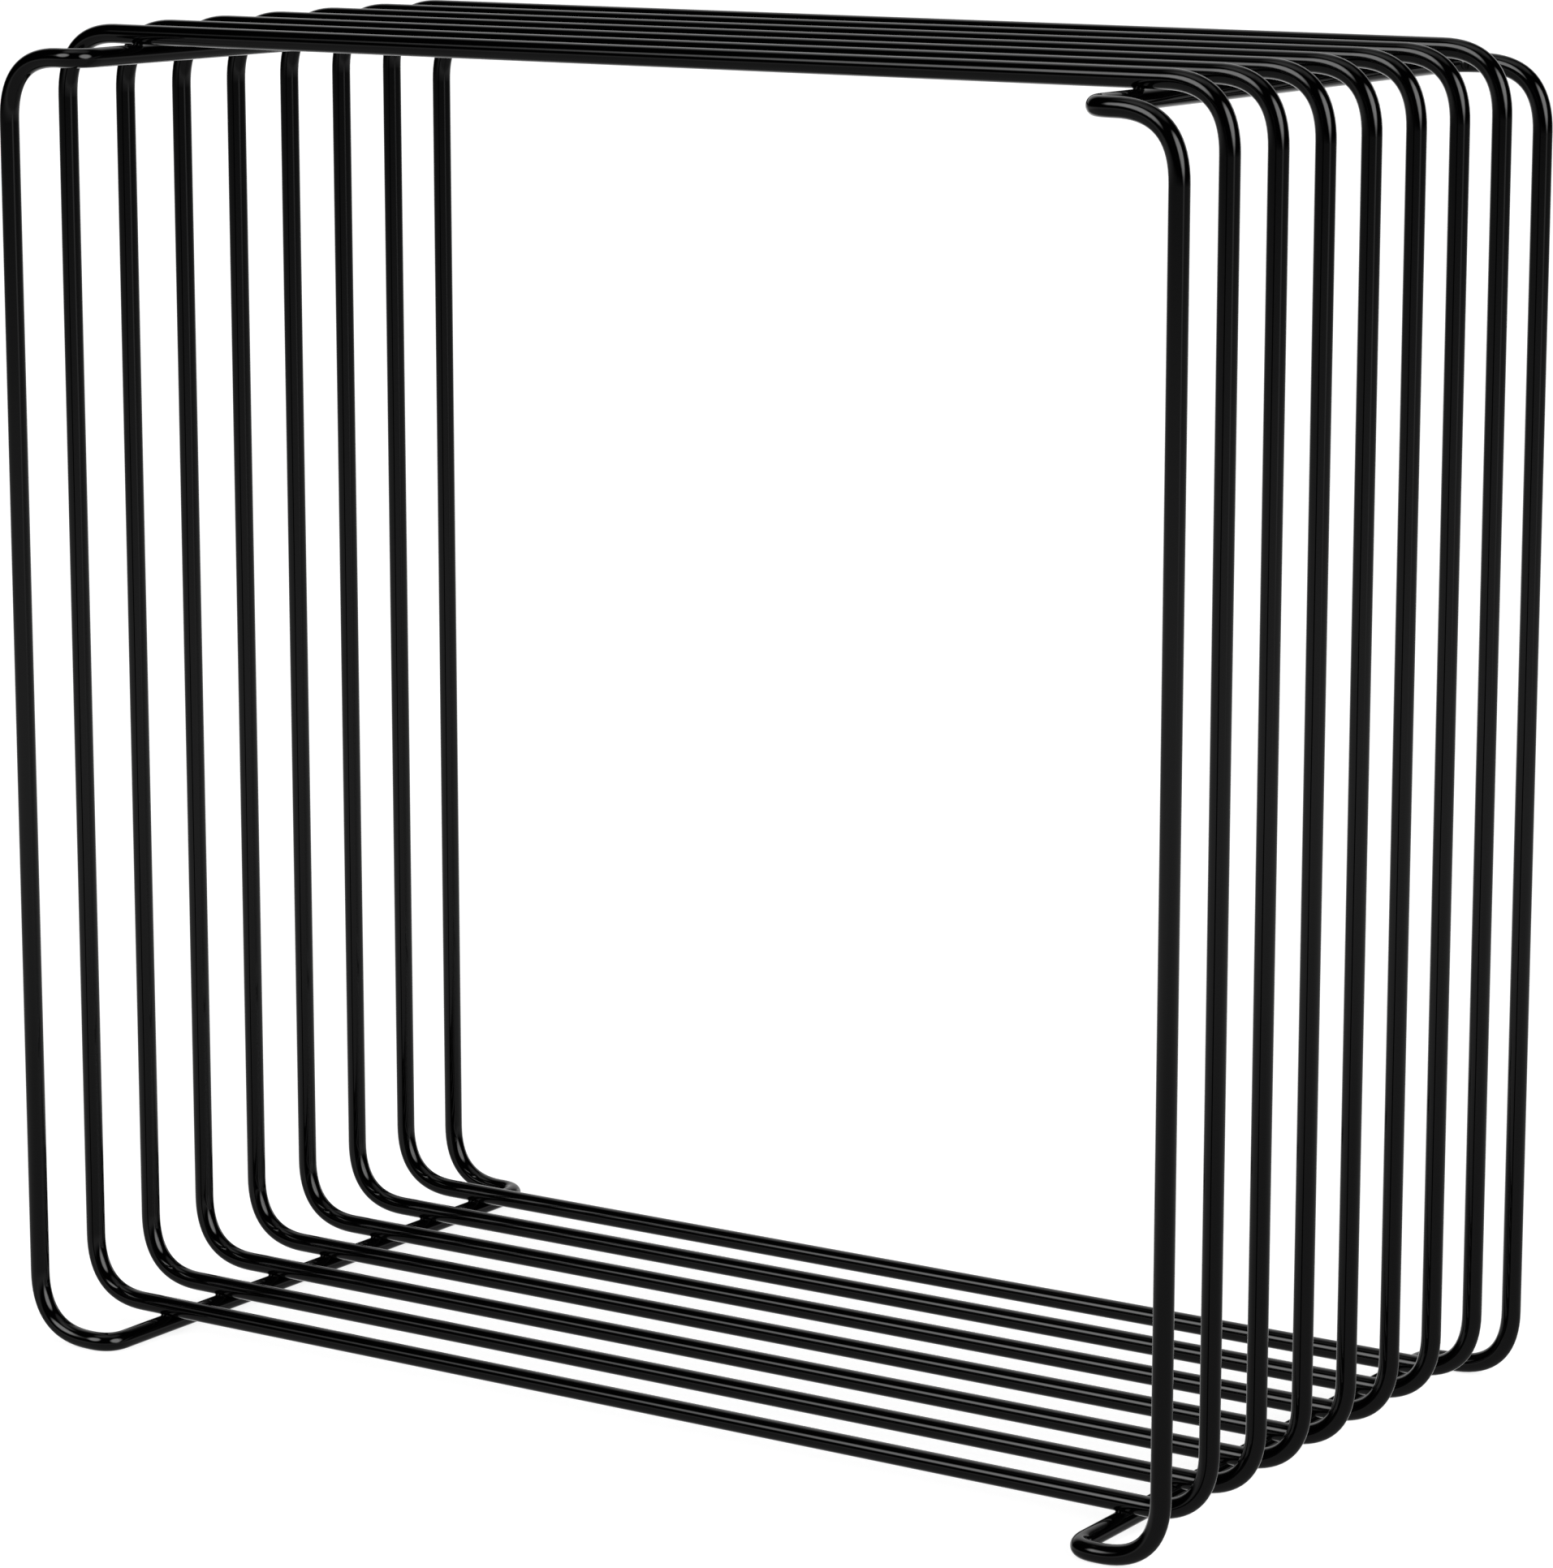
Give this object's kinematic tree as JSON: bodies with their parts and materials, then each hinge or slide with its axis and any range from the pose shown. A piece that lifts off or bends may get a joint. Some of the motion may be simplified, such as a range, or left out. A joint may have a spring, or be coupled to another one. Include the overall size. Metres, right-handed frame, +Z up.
{
  "type": "wire magazine holder",
  "caption": "Open black wire rack for magazines: square rings of bent steel wire, set one behind the other and welded onto two side loops whose bottom rods are its feet.",
  "frame": {"origin": "on the floor, below the middle of the rack", "axes": "+X to the right seen from the front, +Y to the back through the rings, +Z up"},
  "size_m": [0.3478, 0.1878, 0.3478],
  "materials": {
    "ring_paint": "semi-gloss black baked paint",
    "loop_paint": "semi-gloss black baked paint",
    "weld_paint": "semi-gloss black baked paint over the weld"
  },
  "bodies": {
    "root": {"ring_wire_1": "ring_paint", "ring_wire_2": "ring_paint", "ring_wire_3": "ring_paint", "ring_wire_4": "ring_paint", "ring_wire_5": "ring_paint", "ring_wire_6": "ring_paint", "ring_wire_7": "ring_paint", "side_loop_left": "loop_paint", "side_loop_right": "loop_paint", "weld_top_left_1": "weld_paint", "weld_top_left_2": "weld_paint", "weld_top_left_3": "weld_paint", "weld_top_left_4": "weld_paint", "weld_top_left_5": "weld_paint", "weld_top_left_6": "weld_paint", "weld_top_left_7": "weld_paint", "weld_top_right_1": "weld_paint", "weld_top_right_2": "weld_paint", "weld_top_right_3": "weld_paint", "weld_top_right_4": "weld_paint", "weld_top_right_5": "weld_paint", "weld_top_right_6": "weld_paint", "weld_top_right_7": "weld_paint", "weld_bottom_left_1": "weld_paint", "weld_bottom_left_2": "weld_paint", "weld_bottom_left_3": "weld_paint", "weld_bottom_left_4": "weld_paint", "weld_bottom_left_5": "weld_paint", "weld_bottom_left_6": "weld_paint", "weld_bottom_left_7": "weld_paint", "weld_bottom_right_1": "weld_paint", "weld_bottom_right_2": "weld_paint", "weld_bottom_right_3": "weld_paint", "weld_bottom_right_4": "weld_paint", "weld_bottom_right_5": "weld_paint", "weld_bottom_right_6": "weld_paint", "weld_bottom_right_7": "weld_paint"}
  },
  "joints": []
}
